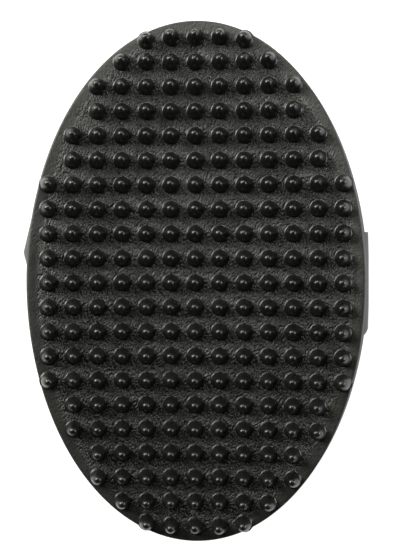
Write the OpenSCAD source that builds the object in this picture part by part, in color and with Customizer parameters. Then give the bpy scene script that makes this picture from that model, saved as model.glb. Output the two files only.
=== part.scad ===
// Oval rubber curry comb with a buttoned hand strap on its back.
// It lies on its strap, pins up: X across the pad, Y along it, Z up, with z = 0 under the strap.

/* [Pad] */
// Width of the pad across its middle
pad_w = 86.6; // [84:0.2:100]
// Length of the pad
pad_l = 130.6; // [130:0.2:150]
// Thickness of the pad
pad_t = 6; // [4:0.5:8]
// Radius of the hollow curve across the pin face
dish_r = 210; // [170:10:500]

/* [Pins] */
// Distance between neighbouring pins, both ways
pin_pitch = 6.1; // [5.2:0.1:6.1]
// Diameter of a pin at its base
pin_base_d = 4.2; // [3:0.1:4.8]
// Diameter of the round tip of a pin
pin_tip_d = 2; // [1:0.1:2.4]
// Height of a pin
pin_h = 4.5; // [3:0.1:6]
// How far the corner pins of the end rows are drawn in from the pad's edge
corner_draw = 0.8; // [0:0.1:1]

/* [Hand strap] */
// Width of the strap
strap_w = 25; // [22:1:28]
// Thickness of each half of the strap
strap_t = 3; // [2.8:0.1:3.6]
// How far the strap's sides stand out past the pad's edge
strap_proud = 0.3; // [0:0.1:1]
// Outer radius of the bend at each shoulder
shoulder_r = 16; // [12:1:17]
// Clear height for the hand between the strap and the pad
hand_room = 27; // [24:1:36]
// Skew of the peg half at its root, in degrees
peg_half_skew = 2; // [0:0.5:3]

/* [Fastening] */
// Distance of the pair of pegs to the left of the middle
peg_offset = 8; // [4:0.5:10]
// Distance between the two pegs of the pair
peg_gap = 12; // [10:0.5:14]
// Diameter of a peg's head
peg_head_d = 5; // [4.4:0.1:5.4]
// Diameter of a peg's stem
peg_stem_d = 3.4; // [2.6:0.1:3.8]
// Free room round a peg's head in its hole
hole_room = 0.3; // [0.3:0.05:0.6]
// Distance from one pair of holes to the next
hole_step = 8; // [7.5:0.5:8.5]

/* [Hidden] */
$fn = 96;
// pins on each side of the middle in each lengthwise row, from the middle row outwards
PINS_EACH_SIDE = [10, 10, 10, 9, 8, 6, 4];
SIDE_ROWS = len(PINS_EACH_SIDE) - 1;
ROWS = 2 * SIDE_ROWS + 1;
// the rows whose end pins are the corner pins
CORNER_ROW = 2;
// pairs of holes for the pegs, and the pair that is buttoned, counted from the free end
HOLE_PAIRS = 5;
BUTTONED_PAIR = 1;
// gap that keeps touching surfaces from cutting into each other
touch = 0.01;
// how far a cutting shape reaches past what it cuts
past = 1;
// gap between the two layers of the strap, and at the bend of the hole half
layer_gap = 0.2;
bend_gap = 0.1;

strap_x = pad_w / 2 + strap_proud;
shoulder_in_r = shoulder_r - strap_t;
// the hole half bends where its side runs into the shoulder
flex_z = shoulder_r;
peg_layer_z = strap_t + layer_gap;
back_z = peg_layer_z + strap_t + hand_room;
face_z = back_z + pad_t;
dish_z = face_z + dish_r;
back_r = dish_r + pad_t;
// free ends of the two halves, as far past the last holes and the pegs as this
hole_end_margin = 9;
peg_end_margin = 11;
hole_half_end = -peg_offset - BUTTONED_PAIR * hole_step - hole_end_margin;
peg_half_end = -peg_offset + peg_end_margin;
end_corner_r = 5;
// the skewed root keeps its outer corner as far out as the other side of the strap
peg_root_x = -(strap_x - strap_w / 2 * sin(peg_half_skew));
peg_root_y = 1;
// the pegs point along the path that the hole half takes as it lifts off them
peg_lean = atan((flex_z - strap_t / 2) / (strap_x + peg_offset));
// the lean carries a peg from its foot on the inner layer to the middle of its hole
peg_foot_x = -peg_offset - (peg_layer_z - strap_t / 2) * tan(peg_lean);
hole_d = peg_head_d + 2 * hole_room;

RUBBER = [0.19, 0.19, 0.18];
PIN_RUBBER = [0.08, 0.08, 0.08];
STRAP_RUBBER = [0.14, 0.14, 0.14];

function two_digits(n) = str(n < 10 ? "0" : "", n);
function pin_row_name(i) = str("pin_row_", two_digits(i + 1));

// An ellipse from its formula, so that its wall is made of flat facets only
module ellipse(w, l) {
    steps = 120;
    polygon([for (i = [0:steps - 1]) [w / 2 * cos(360 * i / steps), l / 2 * sin(360 * i / steps)]]);
}

// A round bar along Y at the centre of the pad's curve
module dish_bar(r) {
    translate([0, 0, dish_z])
        rotate([90, 0, 0])
            cylinder(r = r, h = 2 * pad_l, center = true, $fn = 720);
}

// The oval sheet, bent hollow across its width
module pad() {
    color(RUBBER)
        difference() {
            intersection() {
                // tall enough for the rise of the curve towards the rim
                translate([0, 0, back_z - past])
                    linear_extrude(height = pad_t + pad_w / 4)
                        ellipse(pad_w, pad_l);
                dish_bar(back_r);
            }
            dish_bar(dish_r);
        }
}

// One pin: a cone that runs smoothly into a round tip
module pin() {
    base_r = pin_base_d / 2;
    tip_r = pin_tip_d / 2;
    tip_z = pin_h - tip_r;
    flank = acos(tip_r / norm([base_r, tip_z])) - atan2(tip_z, base_r);
    steps = 5;
    rounding = [
        for (i = [0:steps - 1])
            let (a = flank + i * (90 - flank) / steps)
                [tip_r * cos(a), tip_z + tip_r * sin(a)]
    ];
    rotate_extrude()
        polygon(concat([[0, 0], [base_r, 0]], rounding, [[0, pin_h]]));
}

// Stands a pin square on the hollow face, x measured along its curve
module pin_at(x, y) {
    translate([0, y, dish_z])
        rotate([0, -x / dish_r * 180 / PI, 0])
            translate([0, 0, touch - dish_r])
                pin();
}

// One lengthwise row of pins, counted from the left
module pin_row(i) {
    side = abs(i - SIDE_ROWS);
    reach = PINS_EACH_SIDE[side];
    color(PIN_RUBBER)
        for (j = [-reach:reach]) {
            draw = side == CORNER_ROW && abs(j) == reach ? corner_draw : 0;
            pin_at((i - SIDE_ROWS) * pin_pitch, j * pin_pitch - sign(j) * draw);
        }
}

// Side view of half a strap: down the side, round the shoulder and along to its free end at x = end
module half_profile(crown_z, end) {
    centre = [strap_x - shoulder_r, crown_z + shoulder_r];
    steps = 12;
    outer = [
        for (i = [0:steps])
            centre + shoulder_r * [cos(90 * i / steps), -sin(90 * i / steps)]
    ];
    inner = [
        for (i = [steps:-1:0])
            centre + shoulder_in_r * [cos(90 * i / steps), -sin(90 * i / steps)]
    ];
    polygon(concat(
        [[strap_x, face_z]], outer, [[end, crown_z], [end, crown_z + strap_t]], inner,
        [[strap_x - strap_t, face_z]]
    ));
}

// Half a strap at its full height, with the corners of its free end rounded
module half_blank(crown_z, end) {
    intersection() {
        rotate([90, 0, 0])
            linear_extrude(height = strap_w, center = true)
                half_profile(crown_z, end);
        translate([0, 0, -past])
            linear_extrude(height = face_z + 2 * past)
                union() {
                    translate([end + end_corner_r, -strap_w / 2])
                        square([strap_x - end, strap_w]);
                    for (side = [-1, 1])
                        translate([end + end_corner_r, side * (strap_w / 2 - end_corner_r)])
                            circle(r = end_corner_r);
                    translate([end, end_corner_r - strap_w / 2])
                        square([end_corner_r, strap_w - 2 * end_corner_r]);
                }
    }
}

// Cuts a strap's side off where it meets the back of the pad
module below_pad() {
    intersection() {
        children();
        difference() {
            translate([-pad_w, -pad_l / 2, -past])
                cube([2 * pad_w, pad_l, face_z + 2 * past]);
            dish_bar(back_r + touch);
        }
    }
}

// The holes that the pegs button into, in pairs along the strap
module peg_holes() {
    for (i = [0:HOLE_PAIRS - 1])
        for (side = [-1, 1])
            translate([(i - BUTTONED_PAIR) * hole_step - peg_offset, side * peg_gap / 2, strap_t / 2])
                rotate([0, -peg_lean, 0])
                    cylinder(d = hole_d, h = 3 * strap_t, center = true);
}

// The left half of the strap, the inner layer, which carries the pegs
module peg_half() {
    color(STRAP_RUBBER)
        below_pad()
            translate([peg_root_x, peg_root_y, 0])
                rotate([0, 0, peg_half_skew])
                    translate([strap_x, 0, 0])
                        mirror([1, 0, 0])
                            half_blank(peg_layer_z, -peg_half_end);
}

// A peg: a foot, a stem and a round head that stays inside the outer layer
module peg(side) {
    sunk = 1;
    foot_r = peg_stem_d / 2 + 0.5;
    foot_h = 0.4;
    foot_taper = 0.3;
    stem_r = peg_stem_d / 2;
    head_r = peg_head_d / 2;
    head_h = 1.4;
    head_taper = 0.5;
    head_bevel = 0.6;
    top = strap_t + layer_gap - 0.5;
    under = top - head_h;
    profile = [
        [0, -sunk], [foot_r, -sunk], [foot_r, foot_h], [stem_r, foot_h + foot_taper],
        [stem_r, under], [head_r, under + head_taper],
        [head_r, top - head_bevel], [head_r - head_bevel, top], [0, top]
    ];
    color(STRAP_RUBBER)
        translate([peg_foot_x, side * peg_gap / 2, peg_layer_z - touch])
            rotate([0, 180 - peg_lean, 0])
                difference() {
                    rotate_extrude()
                        polygon(profile);
                    // the foot ends level with the face of its layer
                    rotate([0, peg_lean - 180, 0])
                        translate([-peg_head_d, -peg_head_d, 0])
                            cube([2 * peg_head_d, 2 * peg_head_d, 3 * sunk]);
                }
}

module peg_upper() {
    peg(1);
}

module peg_lower() {
    peg(-1);
}

// The right side of the strap, moulded to the pad, down to the height where the strap bends
module hole_half_root() {
    color(STRAP_RUBBER)
        below_pad()
            intersection() {
                half_blank(0, hole_half_end);
                translate([0, -strap_w, flex_z])
                    cube([pad_w, 2 * strap_w, face_z]);
            }
}

// The part of the strap that lifts off the pegs and swings open
module hole_half() {
    color(STRAP_RUBBER)
        difference() {
            intersection() {
                half_blank(0, hole_half_end);
                translate([-pad_w, -strap_w, -past])
                    cube([2 * pad_w, 2 * strap_w, flex_z - bend_gap + past]);
            }
            peg_holes();
        }
}

pad();
for (i = [0:ROWS - 1]) pin_row(i);
peg_half();
peg_upper();
peg_lower();
hole_half_root();
hole_half();
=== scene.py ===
# Oval rubber curry comb: dished pad, moulded pins and a buttoned hand strap.
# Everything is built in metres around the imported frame; mm turns millimetres into metres.
import bpy
import bmesh
import math
from mathutils import Matrix, Vector, noise


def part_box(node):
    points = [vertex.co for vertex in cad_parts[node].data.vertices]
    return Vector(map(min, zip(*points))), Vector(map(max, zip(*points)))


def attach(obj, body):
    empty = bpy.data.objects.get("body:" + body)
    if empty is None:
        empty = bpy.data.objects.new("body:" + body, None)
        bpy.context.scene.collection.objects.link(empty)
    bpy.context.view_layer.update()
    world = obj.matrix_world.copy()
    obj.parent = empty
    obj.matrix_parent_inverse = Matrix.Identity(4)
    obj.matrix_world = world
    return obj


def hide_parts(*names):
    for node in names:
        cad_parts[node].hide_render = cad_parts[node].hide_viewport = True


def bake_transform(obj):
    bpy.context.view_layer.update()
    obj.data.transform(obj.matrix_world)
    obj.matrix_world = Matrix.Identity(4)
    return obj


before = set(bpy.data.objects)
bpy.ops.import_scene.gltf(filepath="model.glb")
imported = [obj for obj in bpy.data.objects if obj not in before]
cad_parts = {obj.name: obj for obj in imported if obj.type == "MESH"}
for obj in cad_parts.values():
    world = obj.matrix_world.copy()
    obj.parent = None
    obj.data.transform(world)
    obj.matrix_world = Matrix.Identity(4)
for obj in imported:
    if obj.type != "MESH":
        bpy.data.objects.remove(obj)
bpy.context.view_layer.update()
mm = 0.001


# small helpers

def toLinear(hexColour):
    # "#rrggbb" in sRGB to the linear values that the shader sockets take
    parts = [int(hexColour[i:i + 2], 16) / 255 for i in (1, 3, 5)]
    return [c / 12.92 if c <= 0.04045 else ((c + 0.055) / 1.055) ** 2.4 for c in parts] + [1.0]


def addNode(tree, kind, settings=None, inputs=None, stops=()):
    # adds a node; an input takes a plain value, a socket, or a node whose first output feeds it, and
    # stops are the places and colours of a colour ramp
    node = tree.nodes.new(kind)
    for name, value in (settings or {}).items():
        setattr(node, name, value)
    for i, (place, colour) in enumerate(stops):
        elements = node.color_ramp.elements
        element = elements[i] if i < len(elements) else elements.new(place)
        element.position = place
        element.color = colour
    for key, value in (inputs or {}).items():
        if isinstance(value, bpy.types.Node):
            value = value.outputs[0]
        if isinstance(value, bpy.types.NodeSocket):
            tree.links.new(value, node.inputs[key])
        else:
            node.inputs[key].default_value = value
    return node


def smoothStep(low, high, value):
    t = min(max((value - low) / (high - low), 0), 1)
    return t * t * (3 - 2 * t)


def newObject(name, mesh, material):
    obj = bpy.data.objects.new(name, mesh)
    bpy.context.scene.collection.objects.link(obj)
    if not mesh.materials:
        mesh.materials.append(material)
    for face in mesh.polygons:
        face.use_smooth = True
    return obj


def plainMesh(obj):
    # the evaluated object as a plain mesh, with the modifiers that made it taken off
    depsgraph = bpy.context.evaluated_depsgraph_get()
    mesh = bpy.data.meshes.new_from_object(obj.evaluated_get(depsgraph))
    obj.modifiers.clear()
    old = obj.data
    obj.data = mesh
    bpy.data.meshes.remove(old)
    return obj


def closeRings(bm, rings):
    # skins a list of vertex rings, each a closed loop of the same length
    for lower, upper in zip(rings, rings[1:]):
        count = len(lower)
        for i in range(count):
            j = (i + 1) % count
            bm.faces.new((lower[i], lower[j], upper[j], upper[i]))


def roundRing(bm, r, z, sides):
    turns = [2 * math.pi * i / sides for i in range(sides)]
    return [bm.verts.new((r * math.cos(turn), r * math.sin(turn), z)) for turn in turns]


def closeFan(bm, loop, place):
    # triangles from a vertex ring to one point
    middle = bm.verts.new(place)
    for i in range(len(loop)):
        bm.faces.new((loop[i], loop[(i + 1) % len(loop)], middle))
    return middle


def finishMesh(bm, name):
    bmesh.ops.remove_doubles(bm, verts=bm.verts, dist=1e-7)
    bmesh.ops.recalc_face_normals(bm, faces=bm.faces)
    mesh = bpy.data.meshes.new(name)
    bm.to_mesh(mesh)
    bm.free()
    return mesh


# materials

rubber = {
    # the pit and vein colours paint shade into the grain's pits and a highlight onto its vein crests
    "pitShadeColour": "#050504",
    "padColour": "#111110",
    "veinHighlightColour": "#40403b",
    "rimColour": "#1b1b19",
    # the wall's colour is a lighter, bluish copy of the rubber, painted for the light that falls on the wall
    "wallPaintedLightColour": "#303234",
    "grain": 0.6 * mm,
    "grainDepth": 0.46 * mm,
    "grainSlantDegrees": 72,
    "grainStretch": 1.75,
    # the slant of the grain wanders by grainBend over grainDrift
    "grainBend": 2.4 * mm,
    "grainDrift": 9 * mm,
    "patchLength": 10 * mm,
    # smooth rubber: colour, lowest and highest roughness, and the length and depth of its ripple
    "pinColour": "#080807",
    "pinRough": (0.29, 0.37),
    "pinRipple": (0.5 * mm, 0.006 * mm),
    "strapColour": "#232425",
    "strapRough": (0.38, 0.52),
    "strapRipple": (0.45 * mm, 0.02 * mm),
    # the bloom on smooth rubber: size of its clouds, and how much lighter they are
    "bloomLength": 7 * mm,
    "bloomGain": 1.9,
    "bloomLift": 0.002,
    "ior": 1.52,
}


def newMaterial(name):
    material = bpy.data.materials.new(name)
    material.use_nodes = True
    tree = material.node_tree
    tree.nodes.clear()
    return material, tree


def finishMaterial(tree, **inputs):
    shader = addNode(tree, "ShaderNodeBsdfPrincipled", inputs=inputs)
    addNode(tree, "ShaderNodeOutputMaterial", inputs={"Surface": shader.outputs["BSDF"]})


def grainedRubber():
    # Natural rubber, compression moulded in an etched mould. The etching leaves a leather grain: short
    # raised veins over pits, in patches that run one way, and a calmer band along the rim. The colour
    # follows the relief: painted shade darkens the pits and a painted highlight lightens the vein crests.
    # Real grain is about half as wide; it is drawn coarser so that it shows.
    material, tree = newMaterial("grainedMouldedRubber")
    place = addNode(tree, "ShaderNodeTexCoord").outputs["Object"]
    grain = rubber["grain"]
    drift = addNode(tree, "ShaderNodeTexNoise", inputs={
        "Vector": place, "Scale": 1 / rubber["grainDrift"], "Detail": 2.0, "Roughness": 0.5})
    bent = addNode(tree, "ShaderNodeVectorMath", {"operation": "MULTIPLY_ADD"}, {
        0: drift.outputs["Color"], 1: [rubber["grainBend"]] * 3, 2: place})
    # the pattern is drawn out along one steep slant, so its veins are longer than they are wide
    slant = addNode(tree, "ShaderNodeMapping", {"vector_type": "TEXTURE"}, {
        "Vector": bent, "Rotation": (0, 0, math.radians(rubber["grainSlantDegrees"])),
        "Scale": (rubber["grainStretch"], 1.0, 1.0)})
    veins = addNode(tree, "ShaderNodeTexNoise", {"noise_type": "RIDGED_MULTIFRACTAL"}, {
        "Vector": slant, "Scale": 1 / grain, "Detail": 1.0, "Roughness": 0.55,
        "Lacunarity": 2.1, "Offset": 0.9, "Gain": 2.0})
    cells = addNode(tree, "ShaderNodeTexVoronoi", {"feature": "SMOOTH_F1"}, {
        "Vector": slant, "Scale": 1.5 / grain, "Smoothness": 0.35, "Randomness": 1.0})
    relief = addNode(tree, "ShaderNodeMath", {"operation": "MULTIPLY_ADD"}, {
        0: cells.outputs["Distance"], 1: -0.85, 2: veins.outputs["Fac"]})
    # faceMask is how strong the grain is there: full on the face, less along the rim, faint on the back
    # and none on the wall; wallMask is 1 on the wall and the back, which are painted a lighter, bluish
    # grey that stands for the light falling on the wall
    faceMask = addNode(tree, "ShaderNodeAttribute", {"attribute_name": "grainMask"}).outputs["Fac"]
    wallMask = addNode(tree, "ShaderNodeAttribute", {"attribute_name": "wallMask"}).outputs["Fac"]
    patches = addNode(tree, "ShaderNodeTexNoise", inputs={
        "Vector": place, "Scale": 1 / rubber["patchLength"], "Detail": 3.0, "Roughness": 0.6})
    strength = addNode(tree, "ShaderNodeMapRange", inputs={
        "Value": patches, "From Min": 0.35, "From Max": 0.65, "To Min": 0.55, "To Max": 1.0})
    kept = addNode(tree, "ShaderNodeMath", {"operation": "MULTIPLY"}, {
        0: strength, 1: faceMask})
    bump = addNode(tree, "ShaderNodeBump", inputs={
        "Height": relief, "Strength": kept, "Distance": rubber["grainDepth"]})
    # painted light and shade: the relief colours the pits dark as if shaded and the vein crests light as if
    # lit
    grainLightAndShade = addNode(tree, "ShaderNodeValToRGB", inputs={"Fac": relief}, stops=[
        (0.0, toLinear(rubber["pitShadeColour"])),
        (0.42, toLinear(rubber["padColour"])),
        (1.0, toLinear(rubber["veinHighlightColour"]))])
    face = addNode(tree, "ShaderNodeMix", {"data_type": "RGBA"}, {
        "Factor": kept, "A": toLinear(rubber["rimColour"]), "B": grainLightAndShade})
    # painted light: the wall and the back take a lighter, bluish grey that stands for the light on the wall
    colour = addNode(tree, "ShaderNodeMix", {"data_type": "RGBA"}, {
        "Factor": wallMask, "A": face.outputs["Result"], "B": toLinear(rubber["wallPaintedLightColour"])})
    rough = addNode(tree, "ShaderNodeMapRange", inputs={"Value": patches, "To Min": 0.44, "To Max": 0.6})
    finishMaterial(tree, **{
        "Base Color": colour.outputs["Result"], "Roughness": rough,
        "IOR": rubber["ior"], "Normal": bump})
    return material


def smoothRubber(name, colour, roughness, rippleSize):
    # Rubber moulded against polished steel: near black, softly glossy, with a faint cloud of
    # bloom and the very fine ripple that the rubber keeps as it shrinks off the mould.
    material, tree = newMaterial(name)
    roughLow, roughHigh = roughness
    rippleLength, rippleDepth = rippleSize
    place = addNode(tree, "ShaderNodeTexCoord").outputs["Object"]
    ripple = addNode(tree, "ShaderNodeTexNoise", inputs={
        "Vector": place, "Scale": 1 / rippleLength, "Detail": 3.0, "Roughness": 0.55})
    bloom = addNode(tree, "ShaderNodeTexNoise", inputs={
        "Vector": place, "Scale": 1 / rubber["bloomLength"], "Detail": 5.0, "Roughness": 0.65})
    bump = addNode(tree, "ShaderNodeBump", inputs={
        "Height": ripple, "Strength": 1.0, "Distance": rippleDepth})
    dark = toLinear(colour)
    light = [min(c * rubber["bloomGain"] + rubber["bloomLift"], 1) for c in dark[:3]] + [1.0]
    base = addNode(tree, "ShaderNodeValToRGB", inputs={"Fac": bloom}, stops=[(0.35, dark), (0.8, light)])
    rough = addNode(tree, "ShaderNodeMapRange", inputs={
        "Value": bloom, "From Min": 0.3, "From Max": 0.7, "To Min": roughLow, "To Max": roughHigh})
    finishMaterial(tree, **{
        "Base Color": base, "Roughness": rough, "IOR": rubber["ior"], "Normal": bump})
    return material


padRubber = grainedRubber()
pinRubber = smoothRubber(
    "polishedMouldedRubber", rubber["pinColour"], rubber["pinRough"], rubber["pinRipple"])
strapRubber = smoothRubber(
    "satinMouldedRubber", rubber["strapColour"], rubber["strapRough"], rubber["strapRipple"])
print("materials made")

# the frame's own measures

padLow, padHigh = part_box("pad")
flapLow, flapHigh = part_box("hole_half")
dishRadius = 210 * mm
padThick = 6 * mm
backZ = padLow.z
faceZ = backZ + padThick
dishZ = faceZ + dishRadius
# the pad's outline is drawn in by this much, and rimAngle is how far its wall leans at the middle of
# its long sides
rimInset = 0.3 * mm
rimAngle = math.asin((padHigh.x - rimInset) / (dishRadius + padThick))


def bend(x, y, h):
    # a place on the flat pad, h above its face, carried on to the hollow curve across its width
    angle = x / dishRadius
    radius = dishRadius - h
    return Vector((radius * math.sin(angle), y, dishZ - radius * math.cos(angle)))


# pad

pad = {
    "halfWidth": dishRadius * rimAngle,
    "halfLength": padHigh.y - 0.12 * mm,
    "segments": 240,
    "faceRings": 56,
    "backRings": 24,
    "rimRound": 0.5 * mm,
    "backRound": 0.8 * mm,
    # the thin line where the halves of the mould met: how far it stands out, and how far down the wall
    "flash": 0.12 * mm,
    "flashDown": 0.55 * padThick,
    "flashTall": (0.25 * mm, 0.06 * mm),
    "smoothBand": 3.0 * mm,
    "calmGrain": 0.2,
    "backGrain": 0.25,
    "wornMiddle": 0.22,
    "sinkDepth": 0.16 * mm,
    "sinkInset": 2.4 * mm,
    "sinkWidth": 0.55 * mm,
    "sinkHalfLength": 11.5 * mm,
    "waviness": 0.07 * mm,
    "wavinessLength": 14 * mm,
    # the wall leans out towards the back along the long sides
    "draft": 0.1 * mm,
}


def sinkMark(x, y):
    # the rubber draws in over the thick roots of the strap
    inset = pad["halfWidth"] * math.sqrt(max(1 - (y / pad["halfLength"]) ** 2, 0)) - abs(x)
    across = math.exp(-((inset - pad["sinkInset"]) / pad["sinkWidth"]) ** 2)
    along = 1 - smoothStep(pad["sinkHalfLength"] * 0.75, pad["sinkHalfLength"], abs(y))
    return pad["sinkDepth"] * across * along


def padWaviness(x, y):
    return pad["waviness"] * noise.noise(Vector((x, y, 0)) / pad["wavinessLength"])


def grainAt(share, fromRim):
    # the grain fades out towards the band along the rim, and is worn a little in the middle of the face
    calm = pad["calmGrain"]
    band = calm + (1 - calm) * smoothStep(0.5 * pad["smoothBand"], 1.25 * pad["smoothBand"], fromRim)
    return band * (1 - pad["wornMiddle"] * (1 - smoothStep(0.3, 0.75, share)))


def makePad():
    bm = bmesh.new()
    mask = bm.verts.layers.float.new("grainMask")
    wall = bm.verts.layers.float.new("wallMask")
    a, b = pad["halfWidth"], pad["halfLength"]
    count = pad["segments"]
    rimRound, backRound, flash = pad["rimRound"], pad["backRound"], pad["flash"]

    def ring(inset, h, grain, share=1.0, faceSide=False):
        # one oval of vertices, this far in from the outline and above the face, or that share of it
        made = []
        for i in range(count):
            turn = 2 * math.pi * i / count
            drawn = inset + pad["draft"] * (1 + h / padThick) * math.cos(turn) ** 2
            x = (a - drawn) * share * math.cos(turn)
            y = (b - drawn) * share * math.sin(turn)
            lift = padWaviness(x, y) * min(share, 1) - sinkMark(x, y) if faceSide else 0
            vert = bm.verts.new(bend(x, y, h + lift))
            fromRim = (1 - share) * a * b / math.hypot(b * math.cos(turn), a * math.sin(turn))
            vert[mask] = grainAt(share, fromRim) if faceSide else grain
            vert[wall] = 0 if faceSide else smoothStep(0.0, rimRound, -h)
            made.append(vert)
        return made

    rings = []
    for k in range(1, pad["faceRings"] + 1):
        share = (k / pad["faceRings"]) ** 0.9
        rings.append(ring(rimRound, 0, 0, share, True))
    for k in range(1, 6):
        turn = math.pi / 2 * k / 5
        grain = pad["calmGrain"] * (1 - k / 5)
        rings.append(ring(rimRound * (1 - math.sin(turn)), -rimRound * (1 - math.cos(turn)), grain))
    foot, crest = pad["flashTall"]
    for inset, above in ((0, foot), (-flash, crest), (-flash, -crest), (0, -foot)):
        rings.append(ring(inset, above - pad["flashDown"], 0))
    for k in range(0, 5):
        turn = math.pi / 2 * k / 4
        rings.append(ring(backRound * (1 - math.cos(turn)), -padThick + backRound * (1 - math.sin(turn)), 0))
    for k in range(1, pad["backRings"]):
        share = 1 - k / pad["backRings"]
        rings.append(ring(backRound, -padThick, pad["backGrain"], share))
    closeRings(bm, rings)
    # a closed fan at the middle of the face and of the back
    for loop, h in ((rings[0], padWaviness(0, 0)), (rings[-1], -padThick)):
        closeFan(bm, loop, bend(0, 0, h))[mask] = loop[0][mask]
    return newObject("pad_sheet", finishMesh(bm, "padSheet"), padRubber)


padSheet = makePad()
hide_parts("pad")
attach(padSheet, "comb")
print("pad made")

# pins

pins = {
    "pitch": 6.1 * mm,
    "eachSide": [10, 10, 10, 9, 8, 6, 4],
    # the end pins of this row, counted from the middle, are drawn in from the pad's edge
    "cornerRow": 2,
    "cornerDraw": 0.8 * mm,
    "sides": 14,
    # radius and height of each ring in millimetres, from the bead at the foot to the dimple in the tip
    "profile": [(2.42, -0.14), (2.34, 0.01), (2.22, 0.06), (2.12, 0.06), (1.8, 1.6), (1.42, 2.9), (1.05, 3.7),
                (0.72, 4.18), (0.3, 4.42)],
    "dimple": 4.4,
    "tiltDegrees": 0.9,
    "sizeSpread": 0.012,
}


def makePinPattern():
    bm = bmesh.new()
    rings = [roundRing(bm, r * mm, z * mm, pins["sides"]) for r, z in pins["profile"]]
    closeRings(bm, rings)
    closeFan(bm, rings[-1], (0, 0, pins["dimple"] * mm))
    bm.faces.new(rings[0][::-1])
    return newObject("pinPattern", finishMesh(bm, "pinPattern"), pinRubber)


def makePinTree():
    # one lengthwise row of pins: a line of points on the hollow face, a pin square to the face at each
    tree = bpy.data.node_groups.new("pinRow", "GeometryNodeTree")
    tree.interface.new_socket(name="Geometry", in_out="OUTPUT", socket_type="NodeSocketGeometry")
    for name, kind in (
            ("Pin", "Object"), ("Each Side", "Int"), ("Pitch", "Float"), ("Across", "Float"),
            ("Dish Radius", "Float"), ("Dish Height", "Float"), ("End Draw", "Float"), ("Tilt", "Float"),
            ("Size Spread", "Float"), ("Seed", "Int"), ("Material", "Material")):
        tree.interface.new_socket(name=name, in_out="INPUT", socket_type="NodeSocket" + kind)
    given = addNode(tree, "NodeGroupInput").outputs

    # a line of points, and each point's step from the middle of the row
    count = addNode(tree, "ShaderNodeMath", {"operation": "MULTIPLY_ADD"}, {
        0: given["Each Side"], 1: 2.0, 2: 1.0})
    gap = addNode(tree, "ShaderNodeCombineXYZ", inputs={"Y": given["Pitch"]})
    line = addNode(tree, "GeometryNodeMeshLine", inputs={"Count": count, "Offset": gap})
    index = addNode(tree, "GeometryNodeInputIndex")
    step = addNode(tree, "ShaderNodeMath", {"operation": "SUBTRACT"}, {0: index, 1: given["Each Side"]})

    # the end pins are drawn in
    steps = addNode(tree, "ShaderNodeMath", {"operation": "ABSOLUTE"}, {0: step})
    atEnd = addNode(tree, "ShaderNodeMath", {"operation": "COMPARE"}, {
        0: steps, 1: given["Each Side"], 2: 0.5})
    side = addNode(tree, "ShaderNodeMath", {"operation": "SIGN"}, {0: step})
    sideAtEnd = addNode(tree, "ShaderNodeMath", {"operation": "MULTIPLY"}, {0: side, 1: atEnd})
    drawn = addNode(tree, "ShaderNodeMath", {"operation": "MULTIPLY"}, {0: sideAtEnd, 1: given["End Draw"]})
    even = addNode(tree, "ShaderNodeMath", {"operation": "MULTIPLY"}, {0: step, 1: given["Pitch"]})
    along = addNode(tree, "ShaderNodeMath", {"operation": "SUBTRACT"}, {0: even, 1: drawn})

    # across the pad the row lies on the hollow curve
    angle = addNode(tree, "ShaderNodeMath", {"operation": "DIVIDE"}, {
        0: given["Across"], 1: given["Dish Radius"]})
    sine = addNode(tree, "ShaderNodeMath", {"operation": "SINE"}, {0: angle})
    cosine = addNode(tree, "ShaderNodeMath", {"operation": "COSINE"}, {0: angle})
    x = addNode(tree, "ShaderNodeMath", {"operation": "MULTIPLY"}, {0: sine, 1: given["Dish Radius"]})
    drop = addNode(tree, "ShaderNodeMath", {"operation": "MULTIPLY"}, {0: cosine, 1: given["Dish Radius"]})
    z = addNode(tree, "ShaderNodeMath", {"operation": "SUBTRACT"}, {0: given["Dish Height"], 1: drop})
    place = addNode(tree, "ShaderNodeCombineXYZ", inputs={"X": x, "Y": along, "Z": z})
    points = addNode(tree, "GeometryNodeSetPosition", inputs={"Geometry": line, "Position": place})

    # each pin leans and differs in size a little, as it came out of its mould
    back = addNode(tree, "ShaderNodeMath", {"operation": "MULTIPLY"}, {0: given["Tilt"], 1: -1.0})
    lowest = addNode(tree, "ShaderNodeCombineXYZ", inputs={"X": back, "Y": back})
    highest = addNode(tree, "ShaderNodeCombineXYZ", inputs={"X": given["Tilt"], "Y": given["Tilt"]})
    jitter = addNode(tree, "FunctionNodeRandomValue", {"data_type": "FLOAT_VECTOR"}, {
        "Min": lowest, "Max": highest, "Seed": given["Seed"]})
    square = addNode(tree, "ShaderNodeCombineXYZ", inputs={"Y": angle})
    lean = addNode(tree, "ShaderNodeVectorMath", {"operation": "SUBTRACT"}, {0: jitter, 1: square})
    smallest = addNode(tree, "ShaderNodeMath", {"operation": "SUBTRACT"}, {0: 1.0, 1: given["Size Spread"]})
    largest = addNode(tree, "ShaderNodeMath", {"operation": "ADD"}, {0: 1.0, 1: given["Size Spread"]})
    # 2 and 3 are the sockets of the smallest and largest plain number
    size = addNode(tree, "FunctionNodeRandomValue", {"data_type": "FLOAT"}, {
        2: smallest, 3: largest, "Seed": given["Seed"]})

    pin = addNode(tree, "GeometryNodeObjectInfo", inputs={"Object": given["Pin"]})
    stood = addNode(tree, "GeometryNodeInstanceOnPoints", inputs={
        "Points": points, "Instance": pin.outputs["Geometry"],
        "Rotation": lean, "Scale": size.outputs[1]})
    whole = addNode(tree, "GeometryNodeRealizeInstances", inputs={"Geometry": stood})
    painted = addNode(tree, "GeometryNodeSetMaterial", inputs={
        "Geometry": whole, "Material": given["Material"]})
    addNode(tree, "NodeGroupOutput", inputs={"Geometry": painted})
    return tree


def growTree(obj, tree, values):
    modifier = obj.modifiers.new(tree.name, "NODES")
    modifier.node_group = tree
    for item in tree.interface.items_tree:
        if item.in_out == "INPUT" and item.name in values:
            modifier[item.identifier] = values[item.name]
    return plainMesh(obj)


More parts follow.
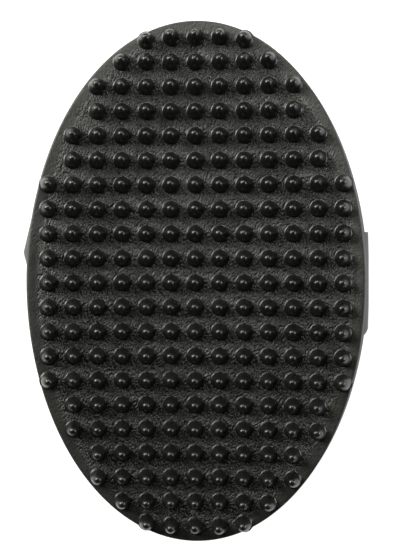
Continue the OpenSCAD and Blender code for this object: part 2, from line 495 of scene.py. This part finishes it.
def makePins():
    pattern = makePinPattern()
    tree = makePinTree()
    sideRows = len(pins["eachSide"]) - 1
    for row in range(-sideRows, sideRows + 1):
        name = f"pin_row_{row + sideRows + 1:02d}"
        obj = newObject("pins_" + name[4:], bpy.data.meshes.new(name), pinRubber)
        growTree(obj, tree, {
            "Pin": pattern, "Each Side": pins["eachSide"][abs(row)], "Pitch": pins["pitch"],
            "Across": row * pins["pitch"],
            "Dish Radius": dishRadius, "Dish Height": dishZ,
            "End Draw": pins["cornerDraw"] if abs(row) == pins["cornerRow"] else 0.0,
            "Tilt": math.radians(pins["tiltDegrees"]), "Size Spread": pins["sizeSpread"],
            "Seed": row + 20, "Material": pinRubber})
        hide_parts(name)
        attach(obj, "comb")
    bpy.data.objects.remove(pattern)


makePins()
print("pins made")

# hand strap

strap = {
    "width": 25 * mm,
    "thick": 3 * mm,
    "shoulder": 16 * mm,
    "edgeRound": 0.55 * mm,
    "edgeSegments": 3,
    "endCorner": 5 * mm,
    # the recessed panel between the edge beads, and the lengths over which it starts at the free end
    # and runs out towards the root
    "bead": 1.5 * mm,
    "beadSlope": (0.6 * mm, 0.2 * mm),
    "recess": 0.3 * mm,
    "panelStart": (2.2 * mm, 3.2 * mm),
    "panelStop": (12 * mm, 18 * mm),
    # the inner face swells into the back of the pad
    "rootFillet": 4 * mm,
    "rootSwell": 2.6 * mm,
    "swellAbove": 3.6 * mm,
    # the root reaches this high and is chamfered, height first and then depth
    "rootBelowRim": 0.8 * mm,
    "rootChamfer": (2.6 * mm, 1.1 * mm),
    # flares and planed faces die out over this stretch below the root's top
    "rootReach": (5 * mm, 15 * mm),
    # the side leans in with the wall of the pad
    "leanFrom": backZ + 2.3 * mm,
    "leanOver": 4 * mm,
    "unevenness": 0.05 * mm,
    "unevenLength": 9 * mm,
    # the hole half bends between these heights when it opens
    "bendTop": 22 * mm,
    "bendFoot": 10 * mm,
    # the peg half's free end, root skew and root shift along the pad
    "pegHalfEnd": -3 * mm,
    "skewDegrees": 2.0,
    "rootShift": 1.0 * mm,
    # distances between the cross lines of the mesh at the rounded free end, in millimetres
    "endLines": [0, 0.12, 0.45, 1.0, 1.7, 2.6, 3.4, 4.2, 5.0],
    "beadLine": 0.7 * mm,
    "innerLines": 10,
}
# Each root is widened or narrowed at its upper and lower edge, and its face is planed in to meet the
# wall: places across the strap, upwards, and how far in the face lies there, in millimetres.
pegRoot = {
    "flareUp": 3.0 * mm,
    "flareDown": 0.2 * mm,
    "plan": [(-13.0, 0.6), (-11.6, 0.2), (3.4, 0.3), (6.4, -0.45), (15.5, 2.0)],
}
holeRoot = {
    "flareUp": 0,
    "flareDown": 0.5 * mm,
    "plan": [(-13.0, 1.3), (-11.8, 0.45), (-6.0, 0.3), (6.0, 0.3), (12.5, 0.5)],
}
holes = {
    "diameter": 5.6 * mm,
    "step": 8 * mm,
    "pairsEachSide": 2,
    "gap": 12 * mm,
    "collar": 0.9 * mm,
    "collarSlope": 0.4 * mm,
    # half the side of the square of mesh round each hole, and its rings from the edge to the hole
    "patch": 4 * mm,
    "patchRings": (1, 0.6, 0.3, 0.12, 0.0),
}
pegs = {
    "offset": 8 * mm,
    "head": 5 * mm,
    "stem": 3.4 * mm,
    "reach": 2.9 * mm,
    # the foot's radius past the stem and its height, from inside the strap up to the stem
    "foot": [(1.1 * mm, -0.7 * mm), (0.75 * mm, 0.12 * mm), (0.2 * mm, 0.4 * mm), (0, 0.75 * mm)],
    # the underside of the head: radius short of the head's, and depth below its top
    "neck": (0.25 * mm, 1.35 * mm),
    "neckDrop": 0.25 * mm,
    "crown": 0.95 * mm,
    "crownTall": 0.85 * mm,
    "sides": 40,
}
strapX = flapHigh.x
# the pegs point along the path that the hole half takes as it lifts off them
pegLean = math.atan((strap["shoulder"] - strap["thick"] / 2) / (strapX + pegs["offset"]))
rootTop = dishZ - dishRadius * math.cos(rimAngle) - strap["rootBelowRim"]
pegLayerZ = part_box("peg_half")[0].z


def strapGrid(length, holePlaces):
    # the strap laid flat: x along it from the free end, y across, with square patches round the holes
    half = strap["width"] / 2
    corner = strap["endCorner"]
    xs = list(strap["endLines"])
    while xs[-1] < length / mm - 1.2:
        xs.append(xs[-1] + 1)
    xs = [x * mm for x in xs] + [length]
    lines = strap["innerLines"]
    outerLines = [half - strap["bead"], half - strap["beadLine"], half]
    ys = [-y for y in reversed(outerLines)] + [k * mm for k in range(-lines, lines + 1)] + outerLines

    def inPatch(x, y):
        size = holes["patch"]
        return any(abs(x - cx) < size - 1e-6 and abs(y - cy) < size - 1e-6 for cx, cy in holePlaces)

    bm = bmesh.new()
    grid = {}

    def vert(i, j):
        if (i, j) not in grid:
            x = xs[i]
            reach = half
            if x < corner:
                reach = half - corner + math.sqrt(max(corner ** 2 - (corner - x) ** 2, 0))
            grid[i, j] = bm.verts.new((x, ys[j] * reach / half, 0))
        return grid[i, j]

    for i in range(len(xs) - 1):
        for j in range(len(ys) - 1):
            if inPatch((xs[i] + xs[i + 1]) / 2, (ys[j] + ys[j + 1]) / 2):
                continue
            bm.faces.new((vert(i, j), vert(i + 1, j), vert(i + 1, j + 1), vert(i, j + 1)))
    for cx, cy in holePlaces:
        steps = round(holes["patch"] / mm)
        border = [(-steps + k, -steps) for k in range(2 * steps)]
        border += [(steps, -steps + k) for k in range(2 * steps)]
        border += [(-a, -b) for a, b in border]
        radius = holes["diameter"] / 2
        rings = []
        for share in holes["patchRings"]:
            ringVerts = []
            for a, b in border:
                out = Vector((a, b)) * mm
                onHole = out.normalized() * radius
                place = onHole.lerp(out, share)
                ringVerts.append(bm.verts.new((cx + place.x, cy + place.y, 0)))
            rings.append(ringVerts)
        closeRings(bm, rings)
    bmesh.ops.remove_doubles(bm, verts=bm.verts, dist=1e-6)
    bmesh.ops.recalc_face_normals(bm, faces=bm.faces)
    if sum(f.normal.z for f in bm.faces) < 0:
        bmesh.ops.reverse_faces(bm, faces=bm.faces)
    return bm


def outerRelief(x, y, toRoot, holePlaces):
    # depth of the panel between the edge beads; it runs out towards the root and leaves a flush collar
    # round each hole
    beadFoot = strap["width"] / 2 - strap["bead"]
    inwards, outwards = strap["beadSlope"]
    panel = 1 - smoothStep(beadFoot - inwards, beadFoot + outwards, abs(y))
    panel *= smoothStep(*strap["panelStart"], x) * smoothStep(*strap["panelStop"], toRoot)
    for cx, cy in holePlaces:
        fromHole = math.hypot(x - cx, y - cy) - holes["diameter"] / 2
        panel *= smoothStep(holes["collar"], holes["collar"] + holes["collarSlope"], fromHole)
    return strap["recess"] * panel


def planedIn(y, plan):
    # how far in the face lies there: straight lines between the places of the plan
    for (fromY, fromIn), (toY, toIn) in zip(plan, plan[1:]):
        if y <= toY * mm:
            share = max((y / mm - fromY) / (toY - fromY), 0)
            return (fromIn + (toIn - fromIn) * share) * mm
    return plan[-1][1] * mm


def holeLean(x, y, h, holePlaces):
    # the holes lean with the pegs; the lean dies out at the edge of each hole's patch
    for cx, cy in holePlaces:
        away = math.hypot(x - cx, y - cy)
        if away < holes["patch"]:
            share = 1 - smoothStep(holes["diameter"] / 2, holes["patch"], away)
            return -(h - strap["thick"] / 2) * math.tan(pegLean) * share
    return 0


def alongStrap(end, crownZ, s, y, h):
    # s runs from the free end along the crown, round the shoulder and up the side; h is the depth from
    # the outer face
    r = strap["shoulder"]
    crownLength = strapX - r - end
    bendLength = r * math.pi / 2
    if s < crownLength:
        return Vector((end + s, y, crownZ + h))
    if s < crownLength + bendLength:
        turn = (s - crownLength) / r
        return Vector((strapX - r + (r - h) * math.sin(turn), y, crownZ + r - (r - h) * math.cos(turn)))
    # the side stands upright, then leans in with the wall of the pad
    z = crownZ + r + s - crownLength - bendLength
    above = max(z - strap["leanFrom"], 0)
    over = strap["leanOver"]
    angle = rimAngle * min(above / over, 1)
    drawn = angle * min(above, over) / 2 + rimAngle * max(above - over, 0)
    return Vector((strapX - drawn - h * math.cos(angle), y, z - h * math.sin(angle)))


def makeStrapHalf(name, end, crownZ, holePlaces, root):
    crownLength = strapX - strap["shoulder"] - end
    length = crownLength + strap["shoulder"] * math.pi / 2 + rootTop - crownZ - strap["shoulder"]
    bm = strapGrid(length, holePlaces)
    flat = bpy.data.meshes.new(name)
    bm.to_mesh(flat)
    bm.free()
    obj = newObject(name, flat, strapRubber)
    solid = obj.modifiers.new("thickness", "SOLIDIFY")
    solid.thickness = strap["thick"]
    solid.offset = 1
    edge = obj.modifiers.new("roundedEdges", "BEVEL")
    edge.width = strap["edgeRound"]
    edge.segments = strap["edgeSegments"]
    edge.limit_method = "ANGLE"
    edge.angle_limit = math.radians(50)
    plainMesh(obj)
    thick = strap["thick"]
    chamferTall, chamferIn = strap["rootChamfer"]
    for v in obj.data.vertices:
        s, y, h = v.co.x, v.co.y, v.co.z
        # 1 at the outer face, 0 at the face against the hand
        outer = 1 - smoothStep(0.0, 1.0, h / (0.35 * thick))
        toRoot = length - s
        h += outer * outerRelief(s, y, toRoot, holePlaces)
        # the inner face swells into the back of the pad, and the sides flare with it
        underPad = toRoot - (rootTop - backZ - strap["swellAbove"])
        swell = (1 - smoothStep(0, strap["rootFillet"], underPad)) ** 2
        h += swell * (h / thick) * strap["rootSwell"]
        h += strap["unevenness"] * noise.noise(Vector((s, y, h)) / strap["unevenLength"])
        atRoot = 1 - smoothStep(*strap["rootReach"], toRoot)
        flare = root["flareUp"] if y > 0 else -root["flareDown"]
        s += holeLean(s, y, h, holePlaces)
        y += flare * atRoot * (y / (strap["width"] / 2)) ** 2
        h = max(h, 0)
        cut = planedIn(y, root["plan"]) * atRoot + chamferIn * max(1 - toRoot / chamferTall, 0)
        h += cut * (1 - h / (2 * thick))
        v.co = alongStrap(end, crownZ, s, y, h)
    return obj


holeEnd = flapLow.x
holePlaces = [
    (i * holes["step"] - holeEnd, side * holes["gap"] / 2)
    for i in range(-holes["pairsEachSide"], holes["pairsEachSide"] + 1) for side in (-1, 1)]
holeHalf = makeStrapHalf("strap_hole_half", holeEnd, 0.0, holePlaces, holeRoot)
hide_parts("hole_half", "hole_half_root")
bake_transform(holeHalf)

pegHalf = makeStrapHalf("strap_peg_half", strap["pegHalfEnd"], pegLayerZ, [], pegRoot)
# mirrored to the left, turned by its skew and set in its place
skew = math.radians(strap["skewDegrees"])
rootX = -(strapX - strap["width"] / 2 * math.sin(skew))
pegHalf.data.transform(Matrix.Translation((rootX, strap["rootShift"], 0)) @ Matrix.Rotation(skew, 4, "Z")
                       @ Matrix.Translation((strapX, 0, 0)) @ Matrix.Scale(-1, 4, (1, 0, 0)))
pegHalf.data.flip_normals()
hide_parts("peg_half")
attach(pegHalf, "comb")
print("strap made")

# pegs

def makePeg(name, side, node):
    head, stem, reach = pegs["head"] / 2, pegs["stem"] / 2, pegs["reach"]
    neckIn, neckDepth = pegs["neck"]
    crownZ = reach - pegs["crown"]
    profile = [(stem + out, z) for out, z in pegs["foot"]]
    profile.append((stem, reach - neckDepth - pegs["neckDrop"]))
    profile += [(head - neckIn, reach - neckDepth), (head, crownZ)]
    for k in range(1, 7):
        turn = math.pi / 2 * k / 7
        profile.append((head * math.cos(turn) ** 0.6, crownZ + pegs["crownTall"] * math.sin(turn)))
    bm = bmesh.new()
    rings = [roundRing(bm, r, z, pegs["sides"]) for r, z in profile]
    closeRings(bm, rings)
    closeFan(bm, rings[-1], (0, 0, crownZ + pegs["crownTall"]))
    bm.faces.new(rings[0][::-1])
    mesh = finishMesh(bm, name)
    footX = -pegs["offset"] - (pegLayerZ - strap["thick"] / 2) * math.tan(pegLean)
    mesh.transform(Matrix.Translation((footX, side * holes["gap"] / 2, pegLayerZ))
                   @ Matrix.Rotation(math.pi - pegLean, 4, "Y"))
    obj = newObject(name, mesh, strapRubber)
    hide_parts(node)
    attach(obj, "comb")


makePeg("strap_peg_upper", 1, "peg_upper")
makePeg("strap_peg_lower", -1, "peg_lower")
print("pegs made")

# floor, light and camera

stage = {
    "floorColour": "#969694",
    "floorGlow": 0.93,
    "floorBelow": 0.05 * mm,
    "backdropGlow": 1.0,
    "floorSize": 3.0,
    "horizon": 0.2,
    "zenith": 0.02,
    "warmWhite": "#fffef5",
    "coolWhite": "#fcfeff",
    # each soft box: place, width and height, in metres, watts, and which white
    "boxes": {
        "keyLight": ((-0.35, 0.22, 0.31), (0.24, 0.24), 4.3, "warmWhite"),
        "topLight": ((0.02, 0.25, 0.28), (0.26, 0.05), 0.85, "warmWhite"),
        "sideLight": ((0.48, 0.05, 0.18), (0.2, 0.3), 1.5, "coolWhite"),
    },
    # the camera looks at this place on the face, from this many degrees to the right and upwards
    "cameraTarget": (1.28 * mm, 1.24 * mm),
    "cameraRight": 3.32,
    "cameraUp": 1.26,
    "cameraDistance": 234.2 * mm,
    "lens": 60.8,
    "sensor": 36,
}


def makeFloor():
    material, tree = newMaterial("palePaper")
    # paper on a light table, so that no shadow greys it
    finishMaterial(tree, **{
        "Base Color": toLinear(stage["floorColour"]), "Roughness": 0.9,
        "Emission Color": (1, 1, 1, 1), "Emission Strength": stage["floorGlow"]})
    half = stage["floorSize"] / 2
    mesh = bpy.data.meshes.new("floor")
    z = -stage["floorBelow"]
    corners = [(-half, -half, z), (half, -half, z), (half, half, z), (-half, half, z)]
    mesh.from_pydata(corners, [], [(0, 1, 2, 3)])
    newObject("floor", mesh, material)


def makeBackdrop():
    # a pale dome behind everything, which the camera sees and which lights nothing
    material, tree = newMaterial("paleBackdrop")
    finishMaterial(tree, **{
        "Base Color": (0, 0, 0, 1), "Roughness": 1.0,
        "Emission Color": (1, 1, 1, 1), "Emission Strength": stage["backdropGlow"]})
    bm = bmesh.new()
    bmesh.ops.create_uvsphere(bm, u_segments=48, v_segments=24, radius=stage["floorSize"] / 2)
    obj = newObject("backdrop", finishMesh(bm, "backdrop"), material)
    obj.visible_diffuse = False
    obj.visible_glossy = False
    obj.visible_shadow = False


def aim(obj, place, target, up=(0, 1, 0)):
    back = (Vector(place) - Vector(target)).normalized()
    right = Vector(up).cross(back).normalized()
    top = back.cross(right)
    turn = Matrix((right, top, back)).transposed().to_4x4()
    obj.matrix_world = Matrix.Translation(place) @ turn


def softBox(name, place, size, watts, white):
    light = bpy.data.lights.new(name, "AREA")
    light.shape = "RECTANGLE"
    light.size, light.size_y = size
    light.energy = watts
    light.color = toLinear(stage[white])[:3]
    obj = bpy.data.objects.new(name, light)
    bpy.context.scene.collection.objects.link(obj)
    aim(obj, place, (0, 0, faceZ))


def makeCamera():
    data = bpy.data.cameras.new("camera")
    obj = bpy.data.objects.new("camera", data)
    bpy.context.scene.collection.objects.link(obj)
    across, up = math.radians(stage["cameraRight"]), math.radians(stage["cameraUp"])
    away = Vector((math.tan(across), math.tan(up), 1)).normalized()
    target = Vector((*stage["cameraTarget"], faceZ))
    aim(obj, target + away * stage["cameraDistance"], target)
    data.sensor_width = stage["sensor"]
    data.lens = stage["lens"]
    data.clip_start = 0.01
    bpy.context.scene.camera = obj


def makeRoom():
    # pale walls round the table under a dark ceiling
    world = bpy.data.worlds.new("whiteRoom")
    world.use_nodes = True
    tree = world.node_tree
    tree.nodes.clear()
    place = addNode(tree, "ShaderNodeTexCoord").outputs["Generated"]
    height = addNode(tree, "ShaderNodeSeparateXYZ", inputs={"Vector": place}).outputs["Z"]
    level = addNode(tree, "ShaderNodeMapRange", {"interpolation_type": "SMOOTHSTEP"}, {
        "Value": height, "From Min": 0.05, "From Max": 0.42,
        "To Min": stage["horizon"], "To Max": stage["zenith"]})
    background = addNode(tree, "ShaderNodeBackground", inputs={"Color": (1, 1, 1, 1), "Strength": level})
    addNode(tree, "ShaderNodeOutputWorld", inputs={"Surface": background})
    bpy.context.scene.world = world


makeFloor()
makeBackdrop()
for name, (place, size, watts, white) in stage["boxes"].items():
    softBox(name, place, size, watts, white)
makeCamera()
makeRoom()
bpy.context.scene.view_settings.view_transform = "Standard"
print("stage made")
